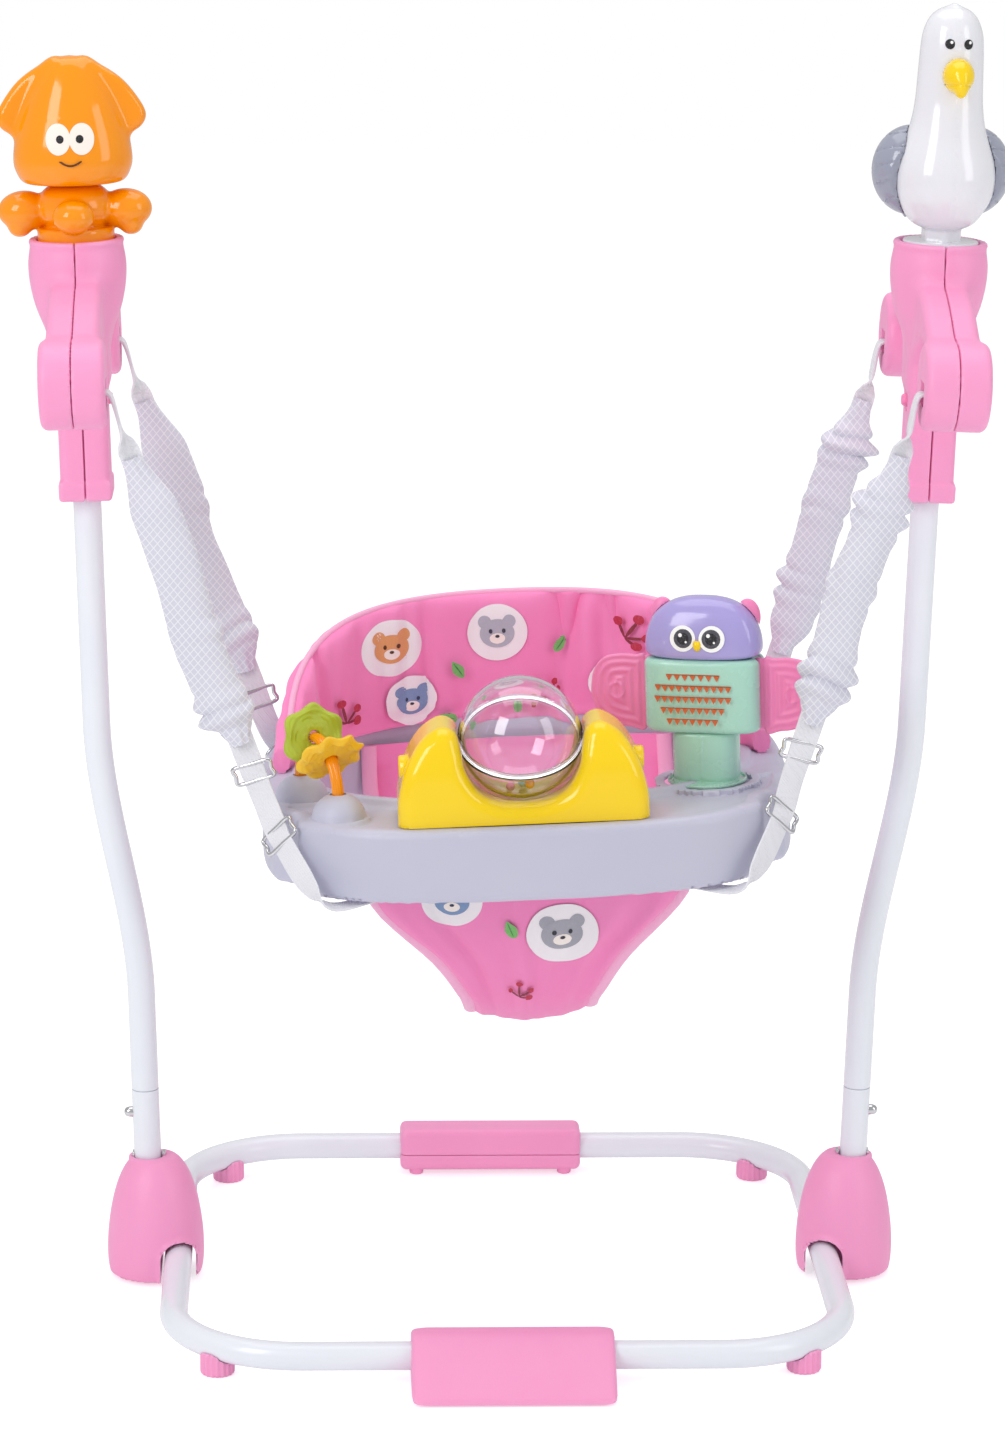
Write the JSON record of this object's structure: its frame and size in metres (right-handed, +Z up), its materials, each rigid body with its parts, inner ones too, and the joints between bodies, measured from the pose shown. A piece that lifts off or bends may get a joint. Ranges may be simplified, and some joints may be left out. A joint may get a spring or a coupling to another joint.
{
  "type": "baby activity jumper",
  "caption": "Standing baby jumper: floor ring with curved posts, a fabric seat and toy tray hung on sleeved springs, and toys that spin and swing.",
  "frame": {"origin": "on the floor under the middle of the whole object's box", "axes": "+Z up, -Y the front (the tray's toys face it), +X to the right of someone facing the front"},
  "size_m": [0.7859, 0.578, 1.026],
  "materials": {
    "painted_tube": "gloss",
    "bright_steel": "satin",
    "pink_plastic": "satin",
    "tray_grey": "satin",
    "seat_fabric": "matte",
    "yellow_plastic": "gloss",
    "orange_plastic": "gloss",
    "white_plastic": "gloss",
    "wing_grey": "gloss",
    "mint_plastic": "gloss",
    "purple_plastic": "gloss",
    "rose_plastic": "satin",
    "clear_plastic": "gloss",
    "lime_rubber": "satin",
    "white_webbing": "matte",
    "cover_fabric": "matte"
  },
  "bodies": {
    "frame": {"base_tube_left": "painted_tube", "base_tube_right": "painted_tube", "post_lower_left": "painted_tube", "post_lower_right": "painted_tube", "post_upper_left": "painted_tube", "post_upper_right": "painted_tube", "tube_coupler_front": "bright_steel", "tube_coupler_rear": "bright_steel", "spring_front_left": "bright_steel", "spring_front_right": "bright_steel", "spring_rear_left": "bright_steel", "spring_rear_right": "bright_steel", "foot_front_left": "pink_plastic", "foot_front_right": "pink_plastic", "foot_rear_left": "pink_plastic", "foot_rear_right": "pink_plastic", "cover_front": "pink_plastic", "cover_rear_lower": "pink_plastic", "cover_rear_upper": "pink_plastic", "foot_housing_left": "pink_plastic", "foot_housing_right": "pink_plastic", "head_left_inner": "pink_plastic", "head_left_outer": "pink_plastic", "head_right_inner": "pink_plastic", "head_right_outer": "pink_plastic", "strap_upper_front_left": "white_webbing", "strap_upper_front_right": "white_webbing", "strap_upper_rear_left": "white_webbing", "strap_upper_rear_right": "white_webbing", "spring_cover_front_left": "cover_fabric", "spring_cover_front_right": "cover_fabric", "spring_cover_rear_left": "cover_fabric", "spring_cover_rear_right": "cover_fabric"},
    "ball": {"ball_upper": "clear_plastic", "ball_lower": "clear_plastic"},
    "owl_body": {"owl_body": "mint_plastic"},
    "owl_head": {"owl_head": "purple_plastic"},
    "owl_wing_left": {"owl_wing_left": "rose_plastic"},
    "owl_wing_right": {"owl_wing_right": "rose_plastic"},
    "disc_yellow": {"teether_disc_yellow": "yellow_plastic"},
    "disc_green": {"teether_disc_green": "lime_rubber"},
    "squid": {"squid_skirt": "orange_plastic", "squid_hood": "orange_plastic"},
    "gull": {"gull_body": "white_plastic", "gull_wings": "wing_grey", "gull_beak": "yellow_plastic"},
    "post_button_left": {"post_button_left": "bright_steel"},
    "post_button_right": {"post_button_right": "bright_steel"},
    "head_button_left": {"head_button_left": "pink_plastic"},
    "head_button_right": {"head_button_right": "pink_plastic"},
    "seat": {"tray": "tray_grey", "seat_back": "seat_fabric", "seat_sling": "seat_fabric", "ball_cradle": "yellow_plastic", "owl_stem": "mint_plastic", "teether_arch": "orange_plastic", "webbing_front_left": "white_webbing", "webbing_front_right": "white_webbing", "webbing_rear_left": "white_webbing", "webbing_rear_right": "white_webbing"}
  },
  "joints": [
    {"name": "seat_bounce", "type": "slide", "parent": "frame", "child": "seat", "axis": [0, 0, 1], "range_m": [-0.08, 0], "stiffness_N_per_m": 1500, "springref_m": 0.03, "deforming": ["spring_front_left", "spring_cover_front_left", "spring_front_right", "spring_cover_front_right", "spring_rear_left", "spring_cover_rear_left", "spring_rear_right", "spring_cover_rear_right"]},
    {"name": "ball_spin", "type": "hinge", "parent": "seat", "child": "ball", "pos_m": [0.00539, -0.134, 0.48468], "axis": [0.999, 0, 0.0436], "continuous": true},
    {"name": "owl_turn", "type": "hinge", "parent": "seat", "child": "owl_body", "pos_m": [0.15585, -0.058, 0.43149], "axis": [-0.0436, 0, 0.999], "range_deg": [0, 30]},
    {"name": "owl_head_turn", "type": "hinge", "parent": "owl_body", "child": "owl_head", "pos_m": [0.15585, -0.058, 0.43149], "axis": [-0.0436, 0, 0.999], "continuous": true},
    {"name": "owl_wing_left_fold", "type": "hinge", "parent": "owl_body", "child": "owl_wing_left", "pos_m": [0.11099, -0.0444, 0.4996], "axis": [0.0436, 0, -0.999], "range_deg": [0, 50]},
    {"name": "owl_wing_right_fold", "type": "hinge", "parent": "owl_body", "child": "owl_wing_right", "pos_m": [0.19461, -0.0716, 0.50325], "axis": [-0.0436, 0, 0.999], "range_deg": [0, 50]},
    {"name": "disc_yellow_spin", "type": "hinge", "parent": "seat", "child": "disc_yellow", "pos_m": [-0.13977, -0.11565, 0.46433], "axis": [-0.3157, 0.66, 0.6817], "continuous": true},
    {"name": "disc_green_spin", "type": "hinge", "parent": "seat", "child": "disc_green", "pos_m": [-0.15247, -0.08722, 0.47308], "axis": [-0.3795, 0.8983, -0.2214], "continuous": true},
    {"name": "squid_spin", "type": "hinge", "parent": "frame", "child": "squid", "pos_m": [-0.33642, 0.018, 0.84591], "axis": [-0.03, 0, 0.9996], "continuous": true},
    {"name": "gull_spin", "type": "hinge", "parent": "frame", "child": "gull", "pos_m": [0.33642, 0.018, 0.84591], "axis": [0.03, 0, 0.9996], "continuous": true},
    {"name": "post_button_left_press", "type": "slide", "parent": "frame", "child": "post_button_left", "axis": [1, 0, 0], "range_m": [0, 0.0055], "stiffness_N_per_m": 600, "springref_m": -0.002},
    {"name": "post_button_right_press", "type": "slide", "parent": "frame", "child": "post_button_right", "axis": [-1, 0, 0], "range_m": [0, 0.0055], "stiffness_N_per_m": 600, "springref_m": -0.002},
    {"name": "head_button_left_press", "type": "slide", "parent": "frame", "child": "head_button_left", "axis": [-0.9996, 0, -0.03], "range_m": [0, 0.0018], "stiffness_N_per_m": 600, "springref_m": -0.002},
    {"name": "head_button_right_press", "type": "slide", "parent": "frame", "child": "head_button_right", "axis": [0.9996, 0, -0.03], "range_m": [0, 0.0018], "stiffness_N_per_m": 600, "springref_m": -0.002}
  ]
}
